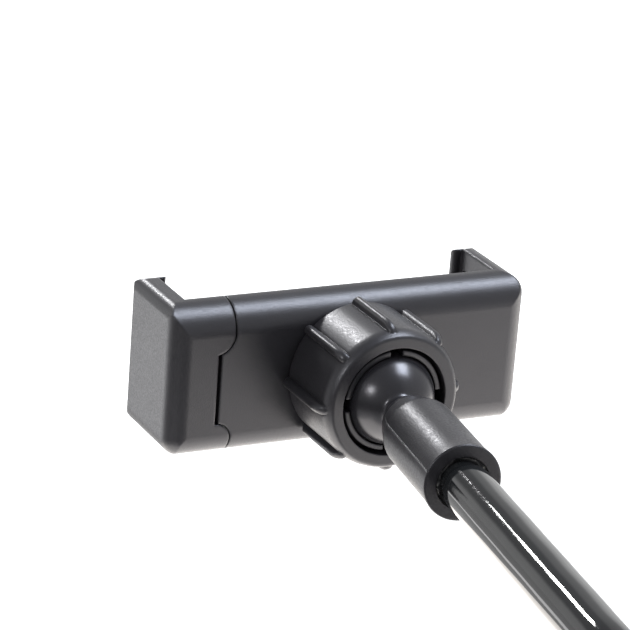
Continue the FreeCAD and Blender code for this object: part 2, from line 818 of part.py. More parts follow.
def make_arm_piece(label, rings):
    """A piece of the arm swept from above the stub: up, round the bend and along into the stem.

    rings are the radii of its section.
    """
    body = new_body(label)
    bend_start = "core_stub + arm_drop"
    run = "(arm_run + bore_depth)"
    bend_x = "-arm_bend * (1 + sin(stem_lift))"
    bend_z = f"{bend_start} + arm_bend * cos(stem_lift)"
    spots = [
        ("0", "core_stub"),
        ("0", bend_start),
        (bend_x, bend_z),
        (f"{bend_x} - {run} * cos(stem_lift)", f"{bend_z} - {run} * sin(stem_lift)"),
    ]
    path = body.newObject("Sketcher::SketchObject", label + "_path")
    path.AttachmentSupport = [(origin_feature(body, "YZ_Plane"), "")]
    path.MapMode = "FlatFace"
    points = [FreeCAD.Vector(value_of(y), value_of(z)) for y, z in spots]
    middle = FreeCAD.Vector(-value_of("arm_bend"), value_of(bend_start))
    circle = Part.Circle(middle, FreeCAD.Vector(0, 0, 1), value_of("arm_bend"))
    turn = math.radians(90 + value_of("stem_lift"))
    path.addGeometry(Part.LineSegment(points[0], points[1]))
    path.addGeometry(Part.ArcOfCircle(circle, 0, turn))
    path.addGeometry(Part.LineSegment(points[2], points[3]))
    path.addConstraint(Sketcher.Constraint("Coincident", 0, 2, 1, 1))
    path.addConstraint(Sketcher.Constraint("Coincident", 1, 2, 2, 1))
    ties = [(0, 1, 0), (0, 2, 1), (1, 2, 2), (2, 2, 3)]
    for geometry, end, spot in ties:
        for kind, formula in zip(("DistanceX", "DistanceY"), spots[spot]):
            constraint = Sketcher.Constraint(kind, -1, 1, geometry, end, value_of(formula))
            index = path.addConstraint(constraint)
            path.setExpression(f"Constraints[{index}]", linked(formula))
    index = path.addConstraint(Sketcher.Constraint("Radius", 1, value_of("arm_bend")))
    path.setExpression(f"Constraints[{index}]", linked("arm_bend"))
    circles = [[("0", "0", radius)] for radius in rings]
    section = outline(body, label + "_section", "XY_Plane", circles, offset="core_stub")
    pipe = body.newObject("PartDesign::AdditivePipe", label + "_pipe")
    pipe.Profile = section
    pipe.Spine = (path, ["Edge1", "Edge2", "Edge3"])
    doc.recompute()
    return body


def make_gooseneck_core():
    """Steel core of the arm, with a plain turned stub at its foot for whatever holds the arm."""
    body = make_arm_piece("gooseneck_core", ["core_diameter / 2"])
    stub = outline(body, "stub_section", "XY_Plane", [[("0", "0", "stub_diameter / 2")]])
    pad(body, "stub", stub, "core_stub")
    return body


def make_all():
    """Every sub-part, with its place in the part's own frame."""
    upright = FreeCAD.Vector(0, 0, 1)
    parts = []
    clamp_pieces = [
        make_rear_housing(),
        make_moving_jaw(),
        make_front_cover(),
        make_cover_screws(),
        make_front_pad(),
        make_jaw_pad("fixed_jaw_pad", FIXED_FACE, -1),
        make_jaw_pad("moving_jaw_pad", MOVING_FACE, 1),
    ]
    for piece in clamp_pieces:
        place(piece, CLAMP_AT)
        parts.append(piece)
    spring_line = "(rear_wall + slide_gap + (" + TONGUE_THICKNESS + ") / 2)"
    for label, sign in (("spring_upper", "1"), ("spring_lower", "-1")):
        spring = make_spring(label)
        along = f"{CLAMP_AT[0]} + {SLOT_END} + seat_gap"
        level = f"{CLAMP_AT[2]} + {sign} * spring_spread / 2"
        place(spring, (along, f"{CLAMP_AT[1]} - {spring_line}", level))
        parts.append(spring)
    nut = make_lock_nut()
    place(nut, CLAMP_AT, (FreeCAD.Vector(0, 1, 0), "rib_angle"))
    parts.append(nut)
    for piece in (make_ball_stem(), make_stem_adhesive()):
        swing = FreeCAD.Rotation(upright, -value_of("stem_swing"))
        lift = FreeCAD.Rotation(FreeCAD.Vector(1, 0, 0), value_of("stem_lift"))
        piece.Placement = FreeCAD.Placement(FreeCAD.Vector(), swing.multiply(lift))
        place(piece, BALL_AT)
        parts.append(piece)
    tube = make_arm_piece("gooseneck_sleeve", ["arm_diameter / 2", "core_diameter / 2 + core_gap"])
    for piece in (make_gooseneck_core(), tube):
        place(piece, ("0", "0", "0"), (upright, "-stem_swing"))
        parts.append(piece)
    doc.recompute()
    return parts


def check_and_write(parts):
    """Stop on any failed object or bad shape, then write one STEP file for each sub-part."""
    failed = [o.Name for o in doc.Objects if {"Invalid", "Error"} & set(o.State)]
    if failed:
        raise RuntimeError("failed objects: " + ", ".join(failed))
    for piece in parts:
        if piece.Shape.isNull() or not piece.Shape.isValid():
            raise RuntimeError(piece.Label + " has no valid shape")
    os.makedirs("parts", exist_ok=True)
    for piece in parts:
        piece.Shape.exportStep(f"parts/{piece.Label}.step")
        print(f"{piece.Label}: {len(piece.Shape.Solids)} solid(s), {piece.Shape.Volume:.1f} mm3")


check_and_write(make_all())
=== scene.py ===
import json
import math

import bmesh
import bpy
import numpy as np
from mathutils import Matrix, Vector


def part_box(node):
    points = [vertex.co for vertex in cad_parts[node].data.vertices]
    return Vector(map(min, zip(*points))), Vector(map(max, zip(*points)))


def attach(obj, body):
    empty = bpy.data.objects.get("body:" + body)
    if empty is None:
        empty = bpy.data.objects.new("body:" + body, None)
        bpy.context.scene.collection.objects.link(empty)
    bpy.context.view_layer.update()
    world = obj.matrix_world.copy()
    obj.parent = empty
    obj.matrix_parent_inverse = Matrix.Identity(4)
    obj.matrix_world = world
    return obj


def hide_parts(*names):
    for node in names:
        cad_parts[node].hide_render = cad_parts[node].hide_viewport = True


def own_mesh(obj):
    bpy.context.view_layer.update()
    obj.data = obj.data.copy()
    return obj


# Looks of a phone clamp with a ball joint on a gooseneck arm. Sizes are written in millimetres and
# turned into metres by MM where a mesh is made. The clamp's X runs to the moving jaw, Y to the rear
# and Z up, as in the part's source.
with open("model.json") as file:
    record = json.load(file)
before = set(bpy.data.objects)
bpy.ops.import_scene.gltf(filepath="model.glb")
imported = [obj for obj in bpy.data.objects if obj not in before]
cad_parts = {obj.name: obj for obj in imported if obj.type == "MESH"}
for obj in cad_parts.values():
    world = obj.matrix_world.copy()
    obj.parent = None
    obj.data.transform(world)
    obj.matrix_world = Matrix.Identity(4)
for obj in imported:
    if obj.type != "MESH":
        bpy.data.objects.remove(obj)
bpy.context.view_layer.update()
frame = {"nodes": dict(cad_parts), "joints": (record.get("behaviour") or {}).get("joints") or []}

MM = 0.001
BALL_DEPTH = 12.9
BALL_CENTRE = np.array(next(j for j in frame["joints"] if j["name"] == "ball_tilt")["pos_m"])
CLAMP = BALL_CENTRE - np.array([0, BALL_DEPTH * MM, 0])

# Lock nut
NUT_BACK, NUT_FRONT = 0.5, 16.2
NUT_BORE, NUT_OPENING = 10.85, 9.95
NUT_BODY, NUT_RING = 12.95, 12.05
NUT_SHOULDER = 3.0
CONE_START, CONE_END = 10.8, 13.62
RIB_COUNT, RIB_TURN = 8, math.radians(3.3)
RIB_HALF, RIB_CREST = 0.975, 14.35
RIB_FRONT, RIB_NOSE, RIB_STEP = 15.2, 3.2, 0.45

# Ball stem, measured along its axis from the ball's centre
BALL, BALL_FLAT, NECK = 8.5, 5.8, 2.9
SLEEVE, SLEEVE_START, SLEEVE_SHOULDER = 6.55, 12.6, 0.7
SLEEVE_RIM, SLEEVE_TAPER = 4.9, 6.1
SLEEVE_MOUTH, FLARE, MOUTH_ROUND = 6.75, 3.0, 0.4
STEM_LENGTH, STEM_BORE, BORE_DEPTH = 40.6, 4.6, 20.0
STEM_SWING, STEM_LIFT = math.radians(9.25), math.radians(1.4)

# Arm, measured along its line from the foot of the stub
STUB, STUB_RADIUS, CORE_RADIUS = 14.0, 3.0, 3.5
ARM_RADIUS, ARM_BORE = 4.3, 3.6
ARM_DROP, ARM_BEND, ARM_RUN = 84.0, 32.0, 62.0
BEND_START = STUB + ARM_DROP
BEND_END = BEND_START + ARM_BEND * (math.pi / 2 + STEM_LIFT)
MOUTH_AT = BEND_END + ARM_RUN
ARM_END = MOUTH_AT + BORE_DEPTH


# Surfaces

def grid_faces(rows, columns, closed_rows=False):
    """Four-cornered faces between neighbouring points of a grid whose columns close into rings."""
    row = np.arange(rows if closed_rows else rows - 1)
    here, beside = np.meshgrid(row, np.arange(columns), indexing="ij")
    next_row, next_column = (here + 1) % rows, (beside + 1) % columns
    corners = [
        here * columns + beside,
        here * columns + next_column,
        next_row * columns + next_column,
        next_row * columns + beside,
    ]
    return np.stack(corners, -1).reshape(-1, 4)


def make_piece(name, points, finish, body, nodes, closed_rows=False, crease=35):
    """A piece from a grid of points in metres, rows by ringed columns, that stands for CAD nodes.

    Rows that don't close end in flat caps. Edges that turn by more than crease degrees stay sharp.
    """
    rows, columns = points.shape[:2]
    faces = grid_faces(rows, columns, closed_rows).tolist()
    if not closed_rows:
        ring = np.arange(columns)
        faces += [ring.tolist(), (ring + (rows - 1) * columns).tolist()]
    mesh = bpy.data.meshes.new(name)
    mesh.from_pydata(points.reshape(-1, 3).tolist(), [], faces)
    shell = bmesh.new()
    shell.from_mesh(mesh)
    bmesh.ops.recalc_face_normals(shell, faces=shell.faces)
    shell.to_mesh(mesh)
    shell.free()
    mesh.shade_smooth()
    mesh.set_sharp_from_angle(angle=math.radians(crease))
    mesh.materials.append(finish)
    piece = bpy.data.objects.new(name, mesh)
    bpy.context.scene.collection.objects.link(piece)
    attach(piece, body)
    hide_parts(*nodes)
    return piece


def softened(corners, run=0.7, steps=7):
    """A line through corners (across, along, reach), with its long runs divided.

    Each corner gives way to a parabola that leaves and joins its two sides at reach from it:
    (1-u)^2 start + 2u(1-u) corner + u^2 end.
    """
    corners = np.array(corners, float)
    spots, reach = corners[:, :2], corners[:, 2:]

    def toward(others):
        gap = others - spots
        return reach * gap / np.maximum(np.linalg.norm(gap, axis=1, keepdims=True), 1e-9)

    start = (spots + toward(np.roll(spots, 1, 0)))[:, None]
    end = (spots + toward(np.roll(spots, -1, 0)))[:, None]
    u = np.linspace(0, 1, steps)[None, :, None]
    line = ((1 - u) ** 2 * start + 2 * u * (1 - u) * spots[:, None] + u ** 2 * end).reshape(-1, 2)
    length = np.concatenate([[0], np.cumsum(np.linalg.norm(np.diff(line, axis=0), axis=1))])
    stations = np.union1d(length, np.arange(0, length[-1], run))
    stations = stations[np.insert(np.diff(stations) > 0.01, 0, True)]
    return np.column_stack([np.interp(stations, length, line[:, i]) for i in range(2)])


def turned(radius, along, angles, centre, axis, side):
    """Points at a radius and a distance along an axis, turned round it from the side direction."""
    top = np.cross(side, axis)
    around = np.cos(angles)[:, None] * side + np.sin(angles)[:, None] * top
    return centre + MM * (along[..., None] * axis + radius[..., None] * around)


def smooth_step(value):
    """0 below 0, 1 above 1 and 3v^2 - 2v^3 between them."""
    value = np.clip(value, 0, 1)
    return value * value * (3 - 2 * value)


# Finishes

RANGE_SOCKETS = ("From Min", "From Max", "To Min", "To Max")


class Finish:
    """A material's nodes on Object coordinates, ending in one Principled shader."""

    def __init__(self, name, **sockets):
        self.material = bpy.data.materials.new(name)
        self.material.use_nodes = True
        self.tree = self.material.node_tree
        self.shader = self.tree.nodes["Principled BSDF"]
        for socket, value in sockets.items():
            self.shader.inputs[socket.replace("_", " ")].default_value = value
        self.place = self.tree.nodes.new("ShaderNodeTexCoord").outputs["Object"]

    def noise(self, size, detail=2.0, stretch=None):
        """Noise whose lumps are about size millimetres across, longer along a stretched axis."""
        node = self.tree.nodes.new("ShaderNodeTexNoise")
        node.inputs["Scale"].default_value = 1 / (size * MM)
        node.inputs["Detail"].default_value = detail
        place = self.place
        if stretch:
            mapping = self.tree.nodes.new("ShaderNodeMapping")
            mapping.inputs["Scale"].default_value = stretch
            self.tree.links.new(place, mapping.inputs["Vector"])
            place = mapping.outputs["Vector"]
        self.tree.links.new(place, node.inputs["Vector"])
        return node.outputs["Fac"]

    def spread(self, source, low, high, start=0.3, stop=0.7):
        """A value from start to stop laid out from low to high."""
        node = self.tree.nodes.new("ShaderNodeMapRange")
        for socket, value in zip(RANGE_SOCKETS, (start, stop, low, high)):
            node.inputs[socket].default_value = value
        self.tree.links.new(source, node.inputs["Value"])
        return node.outputs["Result"]

    def tint(self, source, dark, light):
        """The base colour, from dark to light as the source goes from 0 to 1."""
        node = self.tree.nodes.new("ShaderNodeMix")
        node.data_type = "RGBA"
        node.inputs["A"].default_value = (*dark, 1)
        node.inputs["B"].default_value = (*light, 1)
        self.tree.links.new(source, node.inputs["Factor"])
        self.tree.links.new(node.outputs["Result"], self.shader.inputs["Base Color"])

    def relief(self, source, depth, under=None, share=None):
        """A bump of depth millimetres, over an earlier one and only to a share of its strength."""
        node = self.tree.nodes.new("ShaderNodeBump")
        node.inputs["Distance"].default_value = depth * MM
        self.tree.links.new(source, node.inputs["Height"])
        if under:
            self.tree.links.new(under, node.inputs["Normal"])
        if share:
            self.tree.links.new(share, node.inputs["Strength"])
        self.tree.links.new(node.outputs["Normal"], self.shader.inputs["Normal"])
        return node.outputs["Normal"]

    def soft_edges(self, radius):
        """Normals that turn smoothly round sharp edges, within radius millimetres."""
        node = self.tree.nodes.new("ShaderNodeBevel")
        node.samples = 6
        node.inputs["Radius"].default_value = radius * MM
        return node.outputs["Normal"]

    def away_from_ball(self, radius):
        """A value that goes from 0 to 1 just past a radius in millimetres from the ball's centre."""
        fade = 0.6
        node = self.tree.nodes.new("ShaderNodeVectorMath")
        node.operation = "DISTANCE"
        node.inputs[1].default_value = BALL_CENTRE
        self.tree.links.new(self.place, node.inputs[0])
        return self.spread(node.outputs["Value"], 0.0, 1.0, radius * MM, (radius + fade) * MM)

    def rough(self, source, low, high, share=None, rubbed=0.27):
        """The roughness, from low to high with the source, and evenly rubbed where the share is 0."""
        value = self.spread(source, low, high)
        if share:
            node = self.tree.nodes.new("ShaderNodeMix")
            node.inputs["A"].default_value = rubbed
            self.tree.links.new(share, node.inputs["Factor"])
            self.tree.links.new(value, node.inputs["B"])
            value = node.outputs["Result"]
        self.tree.links.new(value, self.shader.inputs["Roughness"])


PLASTIC_BLACK = np.array([0.0135, 0.013, 0.0155])


def satin_plastic(name, grain, depth, rough, edge, polished=None):
    """Black moulded plastic with a spark-eroded grain: fine lumps in its relief and its roughness.

    The lumps are grain millimetres across and depth high, and rough is the range of the roughness.
    Edges are softened to a radius of edge millimetres, so that they catch the light. Within a
    polished radius of the ball joint's centre, rubbing has worn the grain away.
    """
    finish = Finish(name, IOR=1.58, Specular_Tint=(0.94, 0.94, 1.0, 1))
    lumps = finish.noise(grain, detail=3.0)
    clouds, unevenness = finish.noise(5.0, detail=4.0), 0.14
    finish.tint(clouds, (1 - unevenness) * PLASTIC_BLACK, (1 + unevenness) * PLASTIC_BLACK)
    share = finish.away_from_ball(polished) if polished else None
    finish.rough(lumps, *rough, share)
    wave_depth = 0.006
    waves = finish.relief(finish.noise(2.5), wave_depth, under=finish.soft_edges(edge))
    finish.relief(lumps, depth, under=waves, share=share)
    return finish.material


def gloss_tube():
    """Shiny black plastic with faint long ripples from the extruder and a few dull specks."""
    finish = Finish("arm_gloss", IOR=1.5)
    specks = finish.noise(0.6, detail=5.0)
    finish.tint(finish.noise(8.0), (0.009, 0.010, 0.011), (0.013, 0.014, 0.015))
    finish.rough(specks, 0.03, 0.09)
    finish.relief(finish.noise(5.0, detail=3.0), 0.015)
    return finish.material


def wet_glue():
    """Black glue with a shiny, lumpy skin."""
    finish = Finish("dark_glue", IOR=1.5)
    lumps = finish.noise(0.7, detail=3.0)
    finish.tint(lumps, (0.014, 0.014, 0.016), (0.036, 0.036, 0.038))
    finish.rough(finish.noise(0.4), 0.10, 0.30)
    finish.relief(lumps, 0.15)
    return finish.material


def pad_rubber():
    """Dark grey rubber: dull, dusty in patches, with a fine grain."""
    finish = Finish("pad_rubber", IOR=1.5)
    finish.tint(finish.noise(3.0, detail=5.0), (0.036, 0.036, 0.038), (0.056, 0.056, 0.058))
    grain = finish.noise(0.3, detail=3.0)
    finish.rough(grain, 0.62, 0.85)
    finish.relief(grain, 0.02)
    return finish.material


def turned_steel(name, shade, lines):
    """Bare or blackened steel with fine lines of the tool, closest together along the stretched axis."""
    finish = Finish(name, Metallic=1.0)
    strokes = finish.noise(1.2, detail=4.0, stretch=lines)
    finish.tint(strokes, [0.8 * c for c in shade], shade)
    finish.rough(strokes, 0.22, 0.42)
    finish.relief(strokes, 0.006)
    return finish.material


CLAMP_PLASTIC = satin_plastic("clamp_plastic", grain=0.29, depth=0.020, rough=(0.28, 0.46), edge=0.5)
COVER_PLASTIC = satin_plastic("cover_plastic", grain=0.28, depth=0.030, rough=(0.36, 0.52), edge=0.2)
NUT_PLASTIC = satin_plastic("nut_plastic", grain=0.30, depth=0.018, rough=(0.30, 0.47), edge=0.12)
STEM_PLASTIC = satin_plastic(
    "stem_plastic", grain=0.38, depth=0.034, rough=(0.28, 0.47), edge=0.15, polished=BALL + 0.1
)
ARM_GLOSS = gloss_tube()
DARK_GLUE = wet_glue()
PAD_RUBBER = pad_rubber()
SCREW_STEEL = turned_steel("screw_steel", (0.10, 0.10, 0.105), (1, 8, 1))
SPRING_STEEL = turned_steel("spring_steel", (0.55, 0.55, 0.56), (1, 6, 6))
CORE_STEEL = turned_steel("core_steel", (0.42, 0.42, 0.42), (1, 1, 9))

CAD_FINISHES = {
    "rear_housing": CLAMP_PLASTIC,
    "moving_jaw": CLAMP_PLASTIC,
    "front_cover": COVER_PLASTIC,
    "cover_screws": SCREW_STEEL,
}
for node, finish in CAD_FINISHES.items():
    for index in range(len(frame["nodes"][node].data.materials)):
        frame["nodes"][node].data.materials[index] = finish


# Lock nut

def rib_columns():
    """Angles round the nut, close together on the ribs and their flanks, measured from the first rib."""
    across = RIB_HALF * np.sin(np.radians(np.linspace(-90, 90, 19)))
    beside = RIB_HALF + np.array([0.03, 0.12, 0.24, 0.4, 0.7, 1.2, 1.9, 2.7, 3.5])
    offsets = np.concatenate([-beside[::-1], across, beside]) / RIB_CREST
    ribs = np.arange(RIB_COUNT) * 2 * math.pi / RIB_COUNT
    return (ribs[:, None] + offsets).ravel(), np.tile(offsets, RIB_COUNT)


def make_lock_nut():
    """A domed ring turned round the nut's axis, with half-round ribs raised on its outside.

    A rib's height is that of its crest, which turns down in an arc over the dome, times
    the half circle sqrt(1 - (x / half width)^2) across it, made a little fuller. Both ends are
    rounded off, the half width closes in a half circle at the nose, and a narrow groove runs along
    the foot.
    """
    fall = NUT_BODY - NUT_RING
    dome = (NUT_SHOULDER ** 2 + fall ** 2) / (2 * fall)
    dome_reach = dome * math.tan(math.asin(NUT_SHOULDER / dome) / 2)
    shoulder = NUT_FRONT - NUT_SHOULDER
    ring_edge = 0.45
    bore_seam = (NUT_BORE, 6.0, 0)
    ring = [
        bore_seam,
        (NUT_BORE, NUT_BACK, 0.2),
        (NUT_BODY, NUT_BACK, 0.25),
        (NUT_BODY, shoulder + dome_reach, dome_reach - ring_edge),
        (NUT_RING, NUT_FRONT, ring_edge),
        (NUT_OPENING, NUT_FRONT, 0.22),
        (NUT_OPENING, CONE_END, 0.2),
        (NUT_BORE, CONE_START, 0.2),
        bore_seam,
    ]
    profile = softened(ring, run=0.35, steps=13)[:-1]
    radius, along = profile[:, :1], profile[:, 1:]
    angles, offsets = rib_columns()
    across = np.abs(offsets) * RIB_CREST
    nose_start = RIB_FRONT - RIB_NOSE
    dome_front = NUT_BODY - dome + math.sqrt(dome ** 2 - (RIB_FRONT - shoulder) ** 2)
    nose_fall = RIB_CREST - dome_front - RIB_STEP
    nose = (RIB_NOSE ** 2 + nose_fall ** 2) / (2 * nose_fall)
    over = np.clip(along - nose_start, 0, RIB_NOSE)
    crest = RIB_CREST - nose + np.sqrt(nose ** 2 - over ** 2)
    outside = (radius > NUT_RING - 0.3) & (along > NUT_BACK + 0.1) & (along < RIB_FRONT)
    height = np.where(outside, crest - radius, 0)
    closing = np.clip((along - (RIB_FRONT - RIB_HALF)) / RIB_HALF, 0, 1)
    half = RIB_HALF * np.sqrt(np.maximum(1 - closing ** 2, 1e-6))
    front_round, back_round, fuller = 0.6, 0.8, 0.3
    foot = np.clip((along - (RIB_FRONT - front_round)) / front_round, 0, 1)
    heel = np.clip((NUT_BACK + back_round - along) / back_round, 0, 0.9)
    height = height * np.sqrt((1 - foot ** 2) * (1 - heel ** 2))
    bow = np.sqrt(np.clip(1 - (across / half) ** 2, 0, 1))
    rise = height * np.where(across <= half, fuller * np.sqrt(bow) + (1 - fuller) * bow, 0)
    groove_depth, groove_width, groove_gap = 0.07, 0.1, 0.12
    groove = groove_depth * np.exp(-((across - half - groove_gap) / groove_width) ** 2)
    groove = np.where(outside & (across > half), groove, 0)
    angles = angles - RIB_TURN
    rib_zero, axis = np.array([1.0, 0, 0]), np.array([0, 1.0, 0])
    points = turned(radius + rise - groove, along + 0 * rise, angles, CLAMP, axis, rib_zero)
    return make_piece("lock_nut_ribbed", points, NUT_PLASTIC, "nut", ["lock_nut"], True)


# Ball stem and what is glued into it

STEM_AXIS = np.array([
    math.sin(STEM_SWING) * math.cos(STEM_LIFT),
    math.cos(STEM_SWING) * math.cos(STEM_LIFT),
    math.sin(STEM_LIFT),
])
STEM_SIDE = np.array([math.cos(STEM_SWING), -math.sin(STEM_SWING), 0])
MOULD_LINE = math.radians(20)


def mould_columns(count=144):
    """Angles round the stem, with extra ones close to its two mould lines."""
    near = np.array([-0.05, -0.03, -0.02, -0.012, -0.006, 0, 0.006, 0.012, 0.02, 0.03, 0.05])
    lines = MOULD_LINE + np.array([[0], [math.pi]]) + near
    even = np.linspace(0, 2 * math.pi, count, endpoint=False)
    return np.unique(np.concatenate([even, lines.ravel()]))


def make_ball_stem():
    """Ball, neck and sleeve turned round the stem's axis, with a fine raised mould line on two sides.

    The line is a ridge exp(-(x / width)^2) across, over the sleeve's length. A fine groove runs
    behind the sleeve's rim.
    """
    back = -math.sqrt(BALL ** 2 - BALL_FLAT ** 2)
    foot = math.sqrt(BALL ** 2 - NECK ** 2)
    fillet, rim_end = 0.6, SLEEVE_START + 1.6
    waist = math.asin((NECK + fillet) / BALL)
    turn = np.linspace(math.atan2(BALL_FLAT, back), waist, 40)
    ball = np.column_stack([BALL * np.sin(turn), BALL * np.cos(turn), 0 * turn])
    rest = np.array([
        (NECK, foot + 0.15, fillet),
        (NECK, SLEEVE_START - SLEEVE_SHOULDER, 0.25),
        (SLEEVE_RIM, SLEEVE_START, 0.35),
        (SLEEVE_RIM + 0.08, SLEEVE_START + 0.75, 0.25),
        (SLEEVE_RIM - 0.1, SLEEVE_START + 1.15, 0.2),
        (SLEEVE_RIM + 0.45, rim_end, 0.15),
        (SLEEVE, SLEEVE_START + SLEEVE_TAPER, 0.5),
        (SLEEVE, STEM_LENGTH - FLARE, 1.2),
        (SLEEVE_MOUTH, STEM_LENGTH - MOUTH_ROUND * 0.5, 0.2),
        (SLEEVE_MOUTH - MOUTH_ROUND * 0.6, STEM_LENGTH, 0.15),
        (STEM_BORE, STEM_LENGTH, 0.15),
        (STEM_BORE, STEM_LENGTH - BORE_DEPTH, 0),
    ])
    profile = softened(np.concatenate([ball, rest]), run=0.9)
    radius, along = profile[:, :1], profile[:, 1:]
    angles = mould_columns()
    off_line = np.abs((angles - MOULD_LINE + math.pi / 2) % math.pi - math.pi / 2)
    line_height, line_width, line_start = 0.1, 0.09, 0.6
    ridge = line_height * np.exp(-(off_line * SLEEVE / line_width) ** 2)
    on_sleeve = smooth_step((along - rim_end) / line_start) * (radius > SLEEVE_RIM - 0.02)
    points = turned(
        radius + ridge * on_sleeve, along + 0 * ridge, angles, BALL_CENTRE, STEM_AXIS, STEM_SIDE
    )
    return make_piece("ball_stem_moulded", points, STEM_PLASTIC, "arm", ["ball_stem"])


def make_glue():
    """A ring of glue round the arm in the stem's mouth, with an uneven skin.

    Its section is a closed loop; the skin's level is a sum of sines of the angle that don't repeat
    evenly, and it climbs the wall and the tube at its edges.
    """
    angles = np.linspace(0, 2 * math.pi, 160, endpoint=False)
    inner, outer, floor = 3.64, STEM_BORE - 0.03, STEM_LENGTH - 6.0
    share = np.linspace(0, 1, 15)[:, None]
    uneven = 0.16 * np.sin(3 * angles + 0.6) + 0.12 * np.sin(7 * angles + 2.0)
    uneven += 0.07 * np.sin(13 * angles)
    sunk, climb = 0.95, 0.35
    level = STEM_LENGTH - sunk + uneven * np.sin(math.pi * share) + climb * (2 * share - 1) ** 2
    skin_radius = inner + (outer - inner) * share + 0 * uneven
    base_radius = skin_radius[::-1]
    radius = np.concatenate([skin_radius, base_radius])
    along = np.concatenate([level, np.full_like(base_radius, floor)])
    points = turned(radius, along, angles, BALL_CENTRE, STEM_AXIS, STEM_SIDE)
    return make_piece("stem_glue", points, DARK_GLUE, "arm", ["stem_adhesive"], True, 60)


# Gooseneck arm

def along_arm(stations, radius, angles):
    """Points of a round section carried along the arm's line: up, round the bend, into the stem.

    The line turns from upright through an angle t = distance past the bend's start / bend radius.
    """
    past = np.clip(stations - BEND_START, 0, BEND_END - BEND_START)
    turn = past / ARM_BEND
    beyond = np.maximum(stations - BEND_END, 0)
    ahead = ARM_BEND * (1 - np.cos(turn)) + beyond * np.sin(turn)
    level = np.minimum(stations, BEND_START) + ARM_BEND * np.sin(turn) + beyond * np.cos(turn)
    forward = np.array([-math.sin(STEM_SWING), -math.cos(STEM_SWING), 0])
    upward = np.array([0, 0, 1.0])
    side = np.cross(forward, upward)
    centre = ahead[:, None] * forward + level[:, None] * upward
    outward = np.cos(turn)[:, None] * forward - np.sin(turn)[:, None] * upward
    spokes = np.cos(angles)[None, :, None] * outward[:, None] + np.sin(angles)[None, :, None] * side
    return MM * (centre[:, None] + radius[..., None] * spokes)


def make_arm_tube():
    """The arm's plastic tube: its wall's section is a closed loop, up the outside and back inside.

    The outside draws in by a smooth step where the tube enters the stem, and swells and thins by a
    hundredth of a millimetre in slow sines, as extruded tube does.
    """
    angles = np.linspace(0, 2 * math.pi, 144, endpoint=False)
    foot_round, drawn_in, swelling = 0.35, 0.55, 0.012
    quarter = np.linspace(0, math.pi / 2, 6)
    foot = STUB + foot_round * (1 - np.cos(quarter))
    body = np.linspace(STUB + 0.4, MOUTH_AT - 6, 150)
    neck = np.linspace(MOUTH_AT - 5.8, MOUTH_AT + 2, 40)
    sunk = np.linspace(MOUTH_AT + 3, ARM_END, 6)
    outer = np.concatenate([foot, body, neck, sunk])
    radius = np.full_like(outer, ARM_RADIUS)
    radius[:len(quarter)] -= foot_round * (1 - np.sin(quarter))
    radius -= drawn_in * smooth_step((outer - MOUTH_AT + 3.2) / 3.6)
    inner = outer[::-4]
    stations = np.concatenate([outer, inner])
    radius = np.concatenate([radius, np.full_like(inner, ARM_BORE)])[:, None]
    swell = swelling * np.sin(stations[:, None] / 2.3 + 2 * np.sin(angles)) * (radius > ARM_BORE)
    points = along_arm(stations, radius + swell, angles)
    return make_piece(
        "gooseneck_tube", points, ARM_GLOSS, "arm", ["gooseneck_sleeve"], True
    )


def make_arm_core():
    """The arm's steel core, round in section along the arm's line, with its turned stub.

    The stub is chamfered at the foot and has a fine groove below the tube.
    """
    angles = np.linspace(0, 2 * math.pi, 96, endpoint=False)
    stub = np.array([0, 0.25, 0.5, 0.8, 4, 8, 12, 13.4, 13.7, STUB - 0.02])
    turned_off = np.array([0.5, 0.22, 0.03, 0, 0, 0, 0, 0, 0.1, 0.1])
    hidden = np.linspace(STUB, ARM_END, 60)
    stations = np.concatenate([stub, hidden])
    radius = np.concatenate([STUB_RADIUS - turned_off, np.full_like(hidden, CORE_RADIUS)])[:, None]
    points = along_arm(stations, radius + 0 * angles, angles)
    return make_piece("gooseneck_wire", points, CORE_STEEL, "arm", ["gooseneck_core"])


# Springs and pads

SPRING_TURNS, SPRING_WIRE = 10, 0.225


def make_spring(node):
    """A round wire carried along a coil: the coil turns evenly in Y and Z while it runs along X."""
    low, high = (np.array(corner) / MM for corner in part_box(node))
    middle, reach = (low + high) / 2, (high - low) / 2
    share = np.linspace(0, 1, SPRING_TURNS * 36 + 1)
    turn = share * SPRING_TURNS * 2 * math.pi
    coil = reach[2] - SPRING_WIRE
    start, run = low[0] + SPRING_WIRE, 2 * (reach[0] - SPRING_WIRE)
    outward = np.column_stack([0 * turn, np.cos(turn), np.sin(turn)])
    centre = np.column_stack([start + run * share, 0 * turn + middle[1], 0 * turn + middle[2]])
    centre += coil * outward
    tangent = np.column_stack([0 * turn + run / turn[-1], -coil * np.sin(turn), coil * np.cos(turn)])
    tangent /= np.linalg.norm(tangent, axis=1, keepdims=True)
    flank = np.cross(tangent, outward)
    angles = np.linspace(0, 2 * math.pi, 10, endpoint=False)[None, :, None]
    spokes = np.cos(angles) * outward[:, None] + np.sin(angles) * flank[:, None]
    points = MM * (centre[:, None] + SPRING_WIRE * spokes)
    spring = make_piece(node + "_wire", points, SPRING_STEEL, "clamp", [node])
    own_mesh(spring)
    return spring


